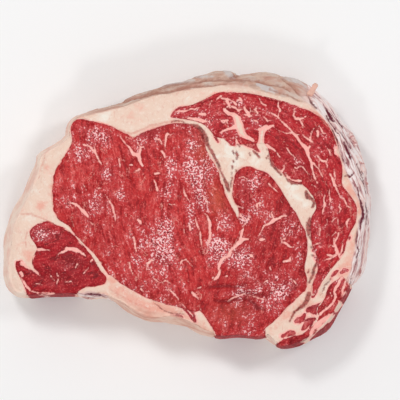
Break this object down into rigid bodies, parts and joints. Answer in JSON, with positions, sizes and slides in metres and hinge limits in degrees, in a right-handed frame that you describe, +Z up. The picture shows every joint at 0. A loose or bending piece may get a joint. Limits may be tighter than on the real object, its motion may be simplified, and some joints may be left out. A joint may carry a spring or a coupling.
{
  "type": "raw beef rib roast",
  "caption": "Thick raw slice of beef rib lying on its cut face, with eye, inner, cap and side muscles, seam fat, a fat cap and a wrinkled silverskin side.",
  "frame": {"origin": "middle of the bounding box of the cut face the roast lies on", "axes": "+X along the roast, from the thin flank end to the rib end, +Y towards the fat cap on the back, +Z up, through the thickness of the slice"},
  "size_m": [0.226, 0.1702, 0.0564],
  "materials": {
    "lean_beef": "moist red lean meat with white marbling",
    "dark_lean_beef": "moist dark red lean meat",
    "beef_fat": "soft creamy raw fat, slightly moist"
  },
  "bodies": {
    "root": {"eye_muscle": "lean_beef", "inner_muscle": "lean_beef", "cap_muscle": "lean_beef", "side_muscle": "dark_lean_beef", "edge_muscle": "dark_lean_beef", "fat": "beef_fat"}
  },
  "joints": []
}
